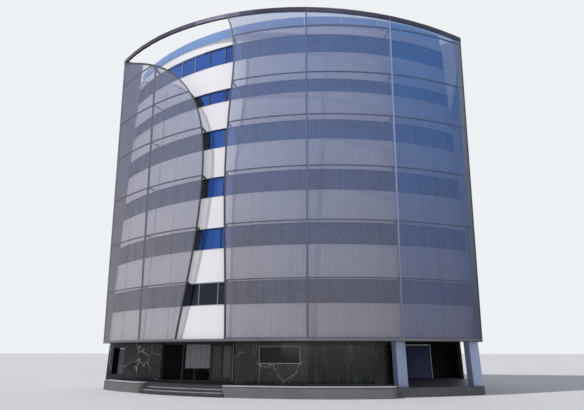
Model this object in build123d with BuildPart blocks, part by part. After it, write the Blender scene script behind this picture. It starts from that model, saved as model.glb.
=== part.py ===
"""Office building with a round front behind a leaning curved mesh screen, in millimetres.

x runs to the viewer's right, y to the back and z up from the lowest ground.
Angles are in degrees about the centre of the round front, 0 straight ahead, right positive.
"""
import os
from math import ceil, cos, floor, radians, sin, tan

from build123d import *

# levels
floor_top = 450
soffit = 2850
sills = (4620, 7780, 10960, 14180, 17390, 20280)
heads = (5890, 9050, 12250, 15490, 18340, 21680)
parapet = 580
parapet_top = heads[-1] + parapet
slab = 300
floor_below_sill = 1000
first_floor = soffit + slab

# round front wall
wall_radius = 18544
wall_apex = -7500
wall_centre = wall_apex + wall_radius
wall_half_angle = 38.0
wall_bays = 5
wall_facets = 5
facet_margin = 0.01
wall = 300
glass = 40
glass_inset = 100
seat = 0.3
bay = 2 * wall_half_angle / wall_bays
facet = bay / wall_facets
half_width = wall_radius * sin(radians(wall_half_angle))
wall_end_y = wall_centre - wall_radius * cos(radians(wall_half_angle))
rear = 7500
corner_pier = 600
guard_height = 940
guard_glass = 20
guard_inset = 150
guard_joint = 0.04

# leaning screen: radius and centre both move as it rises
screen_stand_off = 813
screen_shift = 588
screen_radius = wall_radius + screen_stand_off
screen_centre = wall_centre + screen_shift
screen_spread = 0.0890
screen_retreat = 0.0601
joint_over_head = 35
screen_joints = tuple(head + joint_over_head for head in heads)
sail_posts = (-36.4, -23.8)
right_posts = (7.4, 22.0, 36.4)
gap_angle = -9.0
post_half = 0.12
sheet = 40
sheet_joint = 0.002
post_back = 100
post_front = 10
rail_back = 80
rail_front = 5
rail_half = 25
trim_width = 90
trim_back = 90
trim_front = 15
joint_gap = 2
rim_drop = 150
rim_front = 20
arm_half = 40
arm_reach = 3 * screen_stand_off
fin_angle = 0.25
top_tube = 300
top_tube_front = 30
top_tube_back = 95
tube_joint = 0.0008
top_point = (0, -8300, 23305)
top_slope = (0.0782, 0.0206, 1)
cut_above_top = 2195
highest = top_point[2] + cut_above_top

# free edges of the screen, as angle and height
sail_edge = ((-37.53, 24190), (-27.38, 22310), (-18.05, 20020), (-12.36, 16880),
             (-10.81, 12400), (-12.0, 7950), (-14.88, soffit))
gap_edge = ((-5.84, soffit), (-6.27, 7500), (-6.66, 13000), (-6.0, 17500),
            (-5.62, 20600), (-7.32, 23500))
far = 15000
edge_steps = 28
edge_run_out = 130

# ground floor
base_setback = 144
base_radius = wall_radius - base_setback
tread = 250
risers = 3
steps_from = -22.5
steps_to = -6.15
left_planter_from = -35.5
right_planter_to = 21.3
planter_rim = 550
planter_wall = 80
soil_drop = 70
planter_round = 400
ground_setback = 1644
ground_wall_radius = wall_radius - ground_setback
left_wall_back = 219
left_wall_y = wall_end_y + left_wall_back
left_wall_length = 3767
left_wall_end = -half_width + left_wall_length
slot_from = -half_width + 320
slot_width = 480
slot_to = slot_from + slot_width
slot_sill = 800
slot_head = soffit - 400
window_return = 50
middle_from = -5.75
middle_to = 7.4
middle_window = (-1.8, 5.95)
middle_head = soffit - 380
middle_height = 890
middle_sill = middle_head - middle_height
return_from = -6.75
right_glass_to = 23.7
right_glass_head = soffit - 230
entrance_back = 150
entrance_y = left_wall_y + entrance_back
frame_depth = 80
frame_width = 80
entrance_head = soffit - 230
doors_from_return = 1264
doors_width = 1400
door_right = -(wall_centre - entrance_y) * tan(radians(-return_from)) - doors_from_return
door_left = door_right - doors_width
door_leaf = 50
door_jamb_gap = 12
door_gap = 6
door_floor_gap = 12
door_stile = 90
door_kick = 220
door_recess = 15
pivot_offset = 60
pivot_radius = 15
blind_width = 1700
blind_from_door = 100
blind_to = door_left - blind_from_door
blind_from = blind_to - blind_width
blind_bottom = 1200
blind_back = 150
blind_y = entrance_y + blind_back
blind_thick = 40
blind_post_gap = 130
beam_over_blind = 60
column = 550
column_turn = 24
outer_column_at = (half_width - 417, wall_end_y + 319)
garage_back = 4000
garage_y = rear - garage_back
side_x = ground_wall_radius * sin(radians(right_glass_to))
garage_pier = 200
garage_door_from = side_x + 857
garage_door = (garage_door_from, garage_door_from + 1650)
garage_bay = (garage_door[1] + garage_pier, half_width - 267)
garage_head = soffit - 150
garage_door_back = 100
garage_door_thick = 60

os.makedirs("parts", exist_ok=True)


def sector(radius_in, radius_out, a0, a1, height):
    """Plan of a piece of a round wall, between two radii and two angles."""
    with BuildSketch(Plane.XY.offset(height)) as plan:
        with BuildLine():
            outer = CenterArc((0, wall_centre), radius_out, a0 - 90, a1 - a0)
            inner = CenterArc((0, wall_centre), radius_in, a0 - 90, a1 - a0)
            Line(outer @ 0, inner @ 0)
            Line(outer @ 1, inner @ 1)
        make_face()
    return plan.sketch


def ring(radius_in, radius_out, a0, a1, z0, z1, mode=Mode.ADD):
    """Upright piece of a round wall about the centre of the front."""
    plan = sector(radius_in, radius_out, a0, a1, z0)
    extrude(plan, amount=z1 - z0, mode=mode)


def stations(a0, a1):
    """Two end angles, and the edges of the flat facets between them."""
    first = ceil((a0 + wall_half_angle) / facet + facet_margin)
    last = floor((a1 + wall_half_angle) / facet - facet_margin)
    return [a0, *(number * facet - wall_half_angle for number in range(first, last + 1)), a1]


def round_point(radius, angle, centre):
    """Point on a circle about a centre that lies on the y axis."""
    return (radius * sin(radians(angle)), centre - radius * cos(radians(angle)))


def facets(radius_in, radius_out, a0, a1, centre):
    """Plan corners of a piece of a round wall made of flat facets."""
    angles = stations(a0, a1)
    outer = [round_point(radius_out, angle, centre) for angle in angles]
    return outer + [round_point(radius_in, angle, centre) for angle in reversed(angles)]


def facet_ring(radius_in, radius_out, a0, a1, z0, z1):
    """Upright piece of a round wall made of flat facets."""
    with BuildSketch(Plane.XY.offset(z0)) as plan:
        with BuildLine():
            Polyline(*facets(radius_in, radius_out, a0, a1, wall_centre), close=True)
        make_face()
    extrude(plan.sketch, amount=z1 - z0)


def round_front(radius, back, height):
    """Outline of the round front at a radius, closed by a straight back."""
    ends = (-wall_half_angle, wall_half_angle)
    edge = [round_point(radius, angle, wall_centre) for angle in stations(*ends)]
    with BuildSketch(Plane.XY.offset(height)) as plan:
        with BuildLine():
            Polyline(*edge, (edge[-1][0], back), (edge[0][0], back), close=True)
        make_face()
    return plan.sketch


def block(x0, x1, y0, y1, z0, z1, mode=Mode.ADD):
    """Box between two corners."""
    with BuildSketch(Plane.XY.offset(z0)) as plan:
        with Locations(((x0 + x1) / 2, (y0 + y1) / 2)):
            Rectangle(x1 - x0, y1 - y0)
    extrude(plan.sketch, amount=z1 - z0, mode=mode)


def screen_circle(height):
    """Centre and radius of the screen's outer face at a height."""
    rise = height - soffit
    return screen_centre + screen_retreat * rise, screen_radius + screen_spread * rise


def polygon(*corners):
    """Flat face between corners."""
    return Face(Wire.make_polygon(corners))


def shell(back, front, a0, a1, z0, z1):
    """Piece of the leaning screen, with flat faces from its lower to its upper plan."""
    plans = []
    for height in (z0, z1):
        centre, radius = screen_circle(height)
        corners = facets(radius - back, radius + front, a0, a1, centre)
        plans.append([(x, y, height) for x, y in corners])
    low, high = plans
    faces = [polygon(*low), polygon(*high)]
    for number in range(len(low)):
        faces.append(polygon(low[number - 1], low[number], high[number], high[number - 1]))
    add(Solid(Shell(faces)))


def on_screen(angle, height, out):
    """Point on the screen at an angle and a height, moved out from its face."""
    centre, radius = screen_circle(height)
    return round_point(radius + out, angle, centre)


def levels():
    """Lower and upper height of each row of screen sheets."""
    lows = (soffit,) + tuple(j + rail_half for j in screen_joints)
    highs = tuple(j - rail_half for j in screen_joints) + (highest,)
    return list(zip(lows, highs))


tube_top = Plane(origin=top_point, z_dir=top_slope)
tube_bottom = tube_top.offset(-top_tube)


def halves(a0, a1):
    """Two parts of a bay, parted at the facet edge nearest to its middle."""
    number = round(((a0 + a1) / 2 + wall_half_angle) / facet)
    middle = number * facet - wall_half_angle
    return [(a0, middle - sheet_joint), (middle + sheet_joint, a1)]


def beside(edge, distance):
    """Front view points along a free edge, moved sideways to its right by a distance."""
    points = [(screen_circle(z)[1] * sin(radians(angle)), z) for angle, z in edge]
    with BuildLine() as path:
        Spline(*points)
    moved = []
    for step in range(edge_steps + 1):
        at, along = path.line @ (step / edge_steps), path.line % (step / edge_steps)
        moved.append((at.X + distance * along.Y, at.Y - distance * along.X))
    return moved


def left_of(edge):
    """Front view of everything to the left of a free edge drawn downwards."""
    low_x = edge[-1][0]
    with BuildSketch(Plane.XZ) as view:
        with BuildLine():
            Polyline(*edge, (low_x - edge_run_out, 0), (-far, 0), (-far, highest), close=True)
        make_face()
    return view.sketch


def right_of(edge):
    """Front view of everything to the right of a free edge drawn upwards."""
    low_x, high_x = edge[0][0], edge[-1][0]
    with BuildSketch(Plane.XZ) as view:
        with BuildLine():
            Polyline(*edge, (high_x, highest), (far, highest), (far, 0), (low_x, 0), close=True)
        make_face()
    return view.sketch


# front views of the two parts of the screen, and of the strips along their free edges
sail_view = left_of(beside(sail_edge, 0))
sail_field = left_of(beside(sail_edge, trim_width))
right_view = right_of(beside(gap_edge, 0))
right_field = right_of(beside(gap_edge, trim_width))
with BuildSketch(Plane.XZ) as sail_strip:
    add(sail_view)
    add(sail_field, mode=Mode.SUBTRACT)
with BuildSketch(Plane.XZ) as right_strip:
    add(right_view)
    add(right_field, mode=Mode.SUBTRACT)


def trimmed(back, front, a0, a1, heights, view):
    """Pieces of one bay of the screen, cut to a front view and to the top tube."""
    with BuildPart() as cut:
        for z0, z1 in heights:
            shell(back, front, a0, a1, z0, z1)
        extrude(view, amount=far, both=True, mode=Mode.INTERSECT)
        split(bisect_by=tube_bottom, keep=Keep.BOTTOM)
    return cut.part


# ground slab, steps and planters
with BuildPart() as base_slab:
    with BuildSketch():
        with Locations((0, wall_centre)):
            Circle(base_radius)
        with Locations((0, rear - far)):
            Rectangle(2 * half_width, 2 * far, mode=Mode.INTERSECT)
    extrude(amount=floor_top)

with BuildPart() as lower_step:
    ring(base_radius, base_radius + 2 * tread, steps_from, steps_to, 0, floor_top / risers)
with BuildPart() as upper_step:
    ring(base_radius, base_radius + tread, steps_from, steps_to,
         floor_top / risers, 2 * floor_top / risers)


def planter(a0, a1):
    """Low curved trough with rounded outer corners and a sunken bed of the same outline."""
    rim = base_radius + 2 * tread
    with BuildSketch() as plan:
        with BuildLine():
            outer = CenterArc((0, wall_centre), rim, a0 - 90, a1 - a0)
            inner = CenterArc((0, wall_centre), base_radius, a0 - 90, a1 - a0)
            Line(outer @ 0, inner @ 0)
            Line(outer @ 1, inner @ 1)
        make_face()
        corners = plan.vertices().sort_by_distance((0, wall_centre))
        fillet(corners[-2:], planter_round)
    with BuildSketch(Plane.XY.offset(planter_rim - soil_drop)) as bed:
        add(plan.sketch)
        offset(amount=-planter_wall)
    extrude(plan.sketch, amount=planter_rim)
    extrude(bed.sketch, amount=soil_drop, mode=Mode.SUBTRACT)


with BuildPart() as planter_left:
    planter(left_planter_from, steps_from)
with BuildPart() as planter_right:
    planter(steps_to, right_planter_to)

# ground floor walls
with BuildPart() as marble_wall_left:
    block(-half_width, left_wall_end, left_wall_y, left_wall_y + wall, floor_top, soffit)
    block(slot_from, slot_to, left_wall_y - window_return, left_wall_y + wall + window_return,
          slot_sill, slot_head, mode=Mode.SUBTRACT)
with BuildPart() as slot_window:
    block(slot_from, slot_to, left_wall_y + glass_inset, left_wall_y + glass_inset + glass,
          slot_sill, slot_head)

inner_radius = ground_wall_radius - wall
with BuildPart() as marble_wall_middle:
    ring(inner_radius, ground_wall_radius, middle_from, middle_to, floor_top, soffit)
    ring(inner_radius - window_return, ground_wall_radius + window_return, *middle_window,
         middle_sill, middle_head, mode=Mode.SUBTRACT)
with BuildPart() as middle_window_glass:
    ring(ground_wall_radius - glass_inset - glass, ground_wall_radius - glass_inset,
         *middle_window, middle_sill, middle_head)

return_depth = (wall_centre - entrance_y) / cos(radians(return_from)) - frame_depth
with BuildPart() as marble_return:
    ring(return_depth, ground_wall_radius, return_from, middle_from, floor_top, soffit)

with BuildPart() as marble_band_right:
    ring(inner_radius, ground_wall_radius, middle_to, right_glass_to, right_glass_head, soffit)
with BuildPart() as ground_glazing_right:
    ring(ground_wall_radius - 3 * glass, ground_wall_radius - glass, middle_to,
         right_glass_to, floor_top, right_glass_head)


def radial_point(angle, x):
    """Point with a given x on the line from the centre of the front at an angle."""
    return (x, wall_centre - x / tan(radians(angle)))


with BuildPart() as carport_side_wall:
    with BuildSketch(Plane.XY.offset(floor_top)):
        with BuildLine():
            Polyline(radial_point(right_glass_to, side_x), (side_x, garage_y),
                     (side_x - wall, garage_y), radial_point(right_glass_to, side_x - wall),
                     close=True)
        make_face()
    extrude(amount=soffit - floor_top)

with BuildPart() as carport_back_piers:
    block(side_x - wall, garage_door[0], garage_y, garage_y + wall, floor_top, garage_head)
    block(garage_door[1], garage_bay[0], garage_y, garage_y + wall, floor_top, garage_head)
    block(garage_bay[1], half_width, garage_y, garage_y + wall, floor_top, garage_head)
with BuildPart() as carport_back_beam:
    block(side_x - wall, half_width, garage_y, garage_y + wall, garage_head, soffit)
with BuildPart() as garage_door_panel:
    block(*garage_door, garage_y + garage_door_back,
          garage_y + garage_door_back + garage_door_thick, floor_top, garage_head)

with BuildPart() as columns:
    with BuildSketch(Plane.XY.offset(floor_top)):
        with Locations(round_point(ground_wall_radius + column, right_glass_to, wall_centre),
                       outer_column_at):
            Rectangle(column, column, rotation=column_turn)
    extrude(amount=soffit - floor_top)

with BuildPart() as ground_side_walls:
    block(-half_width, -half_width + wall, left_wall_y + wall, rear - wall, floor_top, soffit)
    block(half_width - wall, half_width, garage_y + wall, rear - wall, floor_top, soffit)
with BuildPart() as ground_rear_wall:
    block(-half_width, half_width, rear - wall, rear, floor_top, soffit)

# entrance
frame_front = entrance_y - frame_depth / 2
frame_back = entrance_y + frame_depth / 2
beam_back = blind_y + beam_over_blind
return_slope = tan(radians(return_from))
glass_end = (wall_centre - entrance_y + glass / 2) * return_slope - seat
posts_at = (left_wall_end, blind_from - blind_post_gap, door_left - frame_width, door_right)
with BuildPart() as entrance_posts:
    for x in posts_at:
        block(x, x + frame_width, frame_front, frame_back, floor_top, entrance_head)
with BuildPart() as entrance_head_beam:
    with BuildSketch(Plane.XY.offset(entrance_head)):
        with BuildLine():
            Polyline((left_wall_end, frame_front), (left_wall_end, beam_back),
                     ((wall_centre - beam_back) * return_slope, beam_back),
                     ((wall_centre - frame_front) * return_slope, frame_front), close=True)
        make_face()
    extrude(amount=soffit - entrance_head)
with BuildPart() as entrance_glass:
    for x0, x1 in ((posts_at[0], posts_at[1]), (posts_at[1], posts_at[2])):
        block(x0 + frame_width, x1, entrance_y - glass / 2, entrance_y + glass / 2,
              floor_top, entrance_head)
    block(posts_at[3] + frame_width, glass_end, entrance_y - glass / 2, entrance_y + glass / 2,
          floor_top, entrance_head)
with BuildPart() as entrance_blind:
    block(blind_from, blind_to, blind_y, blind_y + blind_thick, blind_bottom, entrance_head)

door_middle = (door_left + door_right) / 2
door_low, door_high = floor_top + door_floor_gap, entrance_head - door_gap
door_front = entrance_y - door_leaf / 2
door_back = entrance_y + door_leaf / 2


def door_leaf_between(x0, x1):
    """Door leaf with a frame round a thinner glazed field."""
    block(x0, x1, door_front, door_back, door_low, door_high)
    for y0, y1 in ((door_front, door_front + door_recess), (door_back - door_recess, door_back)):
        block(x0 + door_stile, x1 - door_stile, y0, y1, door_low + door_kick,
              door_high - door_stile, mode=Mode.SUBTRACT)


with BuildPart() as entrance_door_left:
    door_leaf_between(door_left + door_jamb_gap, door_middle - door_gap / 2)
with BuildPart() as entrance_door_right:
    door_leaf_between(door_middle + door_gap / 2, door_right - door_jamb_gap)
pivot_reach = door_jamb_gap + pivot_offset
with BuildPart() as door_pivots:
    for z0, z1 in ((floor_top, door_low - seat), (door_high + seat, entrance_head)):
        with BuildSketch(Plane.XY.offset(z0)):
            with Locations((door_left + pivot_reach, entrance_y),
                           (door_right - pivot_reach, entrance_y)):
                Circle(pivot_radius)
        extrude(amount=z1 - z0)

# upper floors
bands = list(zip((soffit,) + heads, sills + (parapet_top,)))
rows = list(zip(sills, heads))


def front_pieces(bays, radius_in, radius_out, heights):
    """Curved pieces of the front, one in each bay at each pair of heights."""
    for number in bays:
        a0 = -wall_half_angle + number * bay
        for z0, z1 in heights:
            facet_ring(radius_in, radius_out, a0, a0 + bay, z0, z1)


glass_out = wall_radius - glass_inset
with BuildPart() as front_wall_odd_bays:
    front_pieces((0, 2, 4), wall_radius - wall, wall_radius, bands)
with BuildPart() as front_wall_even_bays:
    front_pieces((1, 3), wall_radius - wall, wall_radius, bands)
with BuildPart() as front_windows_odd_bays:
    front_pieces((0, 2, 4), glass_out - glass, glass_out, rows)
with BuildPart() as front_windows_even_bays:
    front_pieces((1, 3), glass_out - glass, glass_out, rows)

pier_front = wall_end_y + corner_pier
pier_rear = rear - corner_pier
with BuildPart() as corner_piers:
    for side in (-1, 1):
        with BuildSketch(Plane.XY.offset(soffit)):
            with BuildLine():
                Polyline((side * half_width, wall_end_y), (side * half_width, pier_front),
                         (side * (half_width - wall), pier_front),
                         radial_point(side * wall_half_angle, side * (half_width - wall)),
                         close=True)
            make_face()
        extrude(amount=parapet_top - soffit)
        x_in, x_out = sorted((side * (half_width - wall), side * half_width))
        block(x_in, x_out, pier_rear, rear, soffit, parapet_top)

with BuildPart() as side_walls:
    for x in (-half_width, half_width - wall):
        for z0, z1 in bands:
            block(x, x + wall, pier_front, pier_rear, z0, z1)
with BuildPart() as side_windows:
    for x in (-half_width + glass_inset, half_width - glass_inset - glass):
        for z0, z1 in rows:
            block(x, x + glass, pier_front, pier_rear, z0, z1)
rear_half = half_width - wall
with BuildPart() as rear_wall:
    for z0, z1 in bands:
        block(-rear_half, rear_half, rear - wall, rear, z0, z1)
with BuildPart() as rear_windows:
    for z0, z1 in rows:
        block(-rear_half, rear_half, rear - glass_inset - glass, rear - glass_inset, z0, z1)


def slab_at(top):
    """Floor that fills the space inside the outer walls."""
    with BuildSketch(Plane.XY.offset(top - slab)) as plan:
        add(round_front(wall_radius - wall, rear - wall, 0))
        Rectangle(2 * rear_half, 2 * far, mode=Mode.INTERSECT)
    extrude(plan.sketch, amount=slab)


with BuildPart() as floor_slabs:
    slab_at(first_floor)
    for sill in sills[1:]:
        slab_at(sill - floor_below_sill)
with BuildPart() as roof_slab:
    slab_at(parapet_top - slab)

with BuildPart() as glass_guard:
    guard_bay = bay / 2
    for number in range(2 * wall_bays):
        a0 = -wall_half_angle + number * guard_bay
        facet_ring(wall_radius - guard_inset - guard_glass, wall_radius - guard_inset,
                   a0 + guard_joint, a0 + guard_bay - guard_joint, parapet_top,
                   parapet_top + guard_height)

# leaning screen
sail_bays = ((sail_posts[0] + post_half, sail_posts[1] - post_half),
             (sail_posts[1] + post_half, gap_angle))
right_bays = ((gap_angle, right_posts[0] - post_half),
              (right_posts[0] + post_half, right_posts[1] - post_half),
              (right_posts[1] + post_half, right_posts[2] - post_half))

right_edge_bay, right_full_bays = right_bays[0], right_bays[1:]
rail_levels = [(z - rail_half, z + rail_half) for z in screen_joints]
arm_levels = [(z - arm_half, z + arm_half) for z in screen_joints]
cuts = (soffit,) + screen_joints + (highest,)
trim_levels = [(z0 + joint_gap, z1 - joint_gap) for z0, z1 in zip(cuts[:-1], cuts[1:])]
strips = ((sail_bays[0][0], gap_angle, sail_strip.sketch),
          (gap_angle, -0.5, right_strip.sketch))

sheet_bays = [trimmed(sheet, 0, a0, a1, levels(), sail_field)
              for sail_bay in sail_bays for a0, a1 in halves(*sail_bay)]
with BuildPart() as sail_sheets:
    add(sheet_bays)
edge_sheets = [trimmed(sheet, 0, a0, a1, levels(), right_field)
               for a0, a1 in halves(*right_edge_bay)]
with BuildPart() as screen_sheets:
    for full_bay in right_full_bays:
        for a0, a1 in halves(*full_bay):
            for z0, z1 in levels():
                shell(sheet, 0, a0, a1, z0, z1)
    split(bisect_by=tube_bottom, keep=Keep.BOTTOM)
    add(edge_sheets)

rail_bays = [trimmed(rail_back, rail_front, a0, a1, rail_levels, sail_field)
             for a0, a1 in sail_bays]
with BuildPart() as sail_rails:
    add(rail_bays)
edge_rails = trimmed(rail_back, rail_front, *right_edge_bay, rail_levels, right_field)
with BuildPart() as screen_rails:
    for a0, a1 in right_full_bays:
        for z0, z1 in rail_levels:
            shell(rail_back, rail_front, a0, a1, z0, z1)
    split(bisect_by=tube_bottom, keep=Keep.BOTTOM)
    add(edge_rails)

sail_post_parts = [trimmed(post_back, post_front, a - post_half, a + post_half,
                           [(soffit, highest)], sail_field) for a in sail_posts]
with BuildPart() as sail_mullions:
    add(sail_post_parts)
with BuildPart() as screen_mullions:
    for a in right_posts:
        shell(post_back, post_front, a - post_half, a + post_half, soffit, highest)
    split(bisect_by=tube_bottom, keep=Keep.BOTTOM)

trim_parts = [trimmed(trim_back, trim_front, a0, a1, trim_levels, strip)
              for a0, a1, strip in strips]
with BuildPart() as edge_trims:
    add(trim_parts)

tube_cuts = (sail_posts[0] - post_half, sail_posts[1], gap_angle, *right_posts[:2],
             right_posts[2] + post_half)
with BuildPart() as top_rail:
    for a0, a1 in zip(tube_cuts[:-1], tube_cuts[1:]):
        shell(top_tube_back, top_tube_front, a0 + tube_joint, a1 - tube_joint,
              screen_joints[-2], highest)
    split(bisect_by=tube_top, keep=Keep.BOTTOM)
    split(bisect_by=tube_bottom, keep=Keep.TOP)

with BuildPart() as bottom_rim:
    for a0, a1 in zip(tube_cuts[:-1], tube_cuts[1:]):
        shell(2 * wall, rim_front, a0 + tube_joint, a1 - tube_joint, soffit - rim_drop, soffit)
    extrude(round_front(wall_radius, rear, soffit - rim_drop), amount=rim_drop,
            mode=Mode.SUBTRACT)

arm_parts = [trimmed(arm_reach, -trim_back, a0, a1, arm_levels, strip)
             for a0, a1, strip in strips]
arm_posts = [(sail_posts[1], arm_levels[:-1])] + [(a, arm_levels) for a in right_posts[:2]]
with BuildPart() as screen_arms:
    for a, heights in arm_posts:
        for z0, z1 in heights:
            shell(arm_reach, -post_back - seat, a - post_half / 2, a + post_half / 2, z0, z1)
    add(arm_parts)
    extrude(round_front(wall_radius, rear, soffit), amount=highest - soffit,
            mode=Mode.SUBTRACT)


def fin_corners(side, height):
    """Plan corners of an end plate: along the wall's end and along the edge post's back."""
    radius = wall_radius + seat
    wall_far = round_point(radius, side * wall_half_angle, wall_centre)
    facet_end = round_point(radius, side * (wall_half_angle - facet), wall_centre)
    share = fin_angle / facet
    wall_near = [far_at + (end_at - far_at) * share for far_at, end_at in zip(wall_far, facet_end)]
    outer = on_screen(side * (right_posts[2] + post_half), height, -post_back)
    inner = on_screen(side * (right_posts[2] - post_half), height, -post_back)
    return [(x, y, height) for x, y in (outer, wall_far, wall_near, inner)]


def fin(side):
    """Twisted end plate in flat folds, from the wall's end to the screen's edge post."""
    rows = [fin_corners(side, height) for height in (soffit, *screen_joints, highest)]
    faces = [polygon(*rows[0]), polygon(*rows[-1])]
    for low, high in zip(rows[:-1], rows[1:]):
        faces += [polygon(low[0], low[1], high[0]), polygon(low[1], high[1], high[0]),
                  polygon(low[3], low[2], high[3]), polygon(low[2], high[2], high[3]),
                  polygon(low[1], low[2], high[2], high[1]),
                  polygon(low[3], low[0], high[0], high[3])]
    add(Solid(Shell(faces)))


with BuildPart() as end_fins:
    fin(-1)
    fin(1)
    split(bisect_by=tube_top, keep=Keep.BOTTOM)

pieces = {
    "base_slab": base_slab, "lower_step": lower_step, "upper_step": upper_step,
    "planter_left": planter_left, "planter_right": planter_right,
    "marble_wall_left": marble_wall_left, "slot_window": slot_window,
    "marble_wall_middle": marble_wall_middle, "middle_window": middle_window_glass,
    "marble_return": marble_return, "marble_band_right": marble_band_right,
    "ground_glazing_right": ground_glazing_right, "carport_side_wall": carport_side_wall,
    "carport_back_piers": carport_back_piers, "carport_back_beam": carport_back_beam,
    "garage_door": garage_door_panel, "columns": columns,
    "ground_side_walls": ground_side_walls, "ground_rear_wall": ground_rear_wall,
    "entrance_posts": entrance_posts, "entrance_head_beam": entrance_head_beam,
    "entrance_glass": entrance_glass, "entrance_blind": entrance_blind,
    "entrance_door_left": entrance_door_left, "entrance_door_right": entrance_door_right,
    "door_pivots": door_pivots,
    "front_wall_odd_bays": front_wall_odd_bays, "front_wall_even_bays": front_wall_even_bays,
    "front_windows_odd_bays": front_windows_odd_bays,
    "front_windows_even_bays": front_windows_even_bays, "corner_piers": corner_piers,
    "side_walls": side_walls, "side_windows": side_windows, "rear_wall": rear_wall,
    "rear_windows": rear_windows, "floor_slabs": floor_slabs, "roof_slab": roof_slab,
    "glass_guard": glass_guard, "sail_sheets": sail_sheets, "screen_sheets": screen_sheets,
    "sail_rails": sail_rails, "screen_rails": screen_rails, "sail_mullions": sail_mullions,
    "screen_mullions": screen_mullions, "edge_trims": edge_trims, "top_rail": top_rail,
    "bottom_rim": bottom_rim, "screen_arms": screen_arms, "end_fins": end_fins,
}
for name, piece in pieces.items():
    piece.part.label = name
    export_step(piece.part, f"parts/{name}.step")
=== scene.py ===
from itertools import groupby
from math import ceil, cos, degrees, floor, pi, radians, sin, sqrt
import random

import bpy
import numpy as np
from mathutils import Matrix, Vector


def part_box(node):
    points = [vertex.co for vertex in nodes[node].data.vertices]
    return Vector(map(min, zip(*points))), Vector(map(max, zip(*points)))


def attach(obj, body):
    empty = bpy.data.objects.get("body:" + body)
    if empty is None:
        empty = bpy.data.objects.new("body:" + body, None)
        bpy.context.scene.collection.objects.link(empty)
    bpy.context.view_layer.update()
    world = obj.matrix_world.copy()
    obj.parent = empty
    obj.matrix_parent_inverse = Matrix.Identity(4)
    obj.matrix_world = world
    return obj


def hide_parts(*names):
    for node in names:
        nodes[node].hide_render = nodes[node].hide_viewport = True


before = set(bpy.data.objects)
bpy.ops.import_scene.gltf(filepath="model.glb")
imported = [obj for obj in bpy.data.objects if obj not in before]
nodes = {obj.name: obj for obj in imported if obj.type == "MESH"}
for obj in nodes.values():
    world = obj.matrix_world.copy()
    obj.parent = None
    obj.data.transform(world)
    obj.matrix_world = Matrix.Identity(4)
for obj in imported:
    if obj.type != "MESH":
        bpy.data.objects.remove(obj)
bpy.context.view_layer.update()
scene = bpy.context.scene
random.seed(7)

# heights shared with the solids, in metres
FLOOR_TOP = 0.45
SOFFIT = 2.85
SILLS = (4.62, 7.78, 10.96, 14.18, 17.39, 20.28)
HEADS = (5.89, 9.05, 12.25, 15.49, 18.34, 21.68)
ROWS = tuple(zip(SILLS, HEADS))
PARAPET = 22.26
STOREY = 3.2

# round front and flat walls, with angles in degrees
WALL = 0.3
WALL_R = 18.544
CENTRE_Y = 11.044
HALF_ANGLE = 38.0
GUARD_BAY = 7.6
FACET = 3.04
GLASS_INSET = 0.10
GLASS_R = WALL_R - GLASS_INSET
HALF_X = WALL_R * sin(radians(HALF_ANGLE))
WALL_END_Y = CENTRE_Y - WALL_R * cos(radians(HALF_ANGLE))
REAR = 7.5
CORNER_PIER = 0.6

# leaning screen, whose radius and centre change with height, and its two free edges
SCREEN_R, SCREEN_SPREAD = 19.357, 0.0890
SCREEN_Y, SCREEN_RETREAT = 11.632, 0.0601
SCREEN_JOINTS = tuple(head + 0.035 for head in HEADS)
RAIL_HALF = 0.025
SAIL_EDGE = ((-37.53, 24.19), (-27.38, 22.31), (-18.05, 20.02), (-12.36, 16.88),
             (-10.81, 12.4), (-12.0, 7.95), (-14.88, SOFFIT))
GAP_EDGE = ((-5.84, SOFFIT), (-6.27, 7.5), (-6.66, 13.0), (-6.0, 17.5),
            (-5.62, 20.6), (-7.32, 23.5))
EDGE_TRIM = 0.09
EDGE_CLEARANCE = EDGE_TRIM + 0.03

# where the sail's edge shows reflected in the wall's glass, to the left of the edge itself; the painted
# shade and painted reflection of the sail on the glass end here
SAIL_EDGE_IN_GLASS = ((-38.0, 24.19), (-27.4, 22.31), (-20.8, 20.1), (-15.4, 18.5), (-12.9, 16.88),
             (-11.3, 12.4), (-12.5, 7.95), (-15.4, SOFFIT))

# a height above the whole front
FRONT_TOP = 25.0

# posts of the screen, half a post's width and the start of the grey end strip, in degrees
SAIL_POSTS = (-36.4, -23.8)
RIGHT_POSTS = (7.4, 22.0, 36.4)
POST_HALF = 0.12
END_STRIP = 35.1

# top rail and bottom rim
TOP_POINT = (0.0, -8.3, 23.305)
TOP_SLOPE = (0.0782, 0.0206)
TOP_TUBE = 0.302
RIM_SHADE_TOP = 2.735

# folds and holes of the sheets
FOLDS_A_FACET = 8
FOLD_HALF = 0.006
FOLD_DEPTH = 0.004
SHEET_ROWS = tuple(zip((SOFFIT, *(z + RAIL_HALF for z in SCREEN_JOINTS)),
                       (*(z - RAIL_HALF for z in SCREEN_JOINTS), FRONT_TOP)))
HOLE_STEP = 0.03
METRES_A_DEGREE = 0.35

# ground floor, steps and planters
GROUND_R = 16.9
BASE_R = 18.4
TREAD = 0.25
STEP = 0.15
STEPS_FROM, STEPS_TO = -22.5, -6.15
STEP_END_REACH = 0.7
PLANTERS = {"left": (-35.5, STEPS_FROM), "right": (STEPS_TO, 21.3)}
PLANTER_RIM = 0.55
PLANTER_WALL = 0.08
PLANTER_ROUND = 0.4
SOIL_DROP = 0.07
LEFT_WALL_Y = WALL_END_Y + 0.219
ENTRANCE_Y = LEFT_WALL_Y + 0.15
ENTRANCE_HEAD = 2.62
MIDDLE_WINDOW = (-1.8, 5.95)
MIDDLE_SILL, MIDDLE_HEAD = 1.58, 2.47
GLAZING = (7.4, 23.7)
DOORWAY = (-4.42, -2.88)
COLUMN = 0.55
COLUMN_TURN = 24.0

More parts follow.
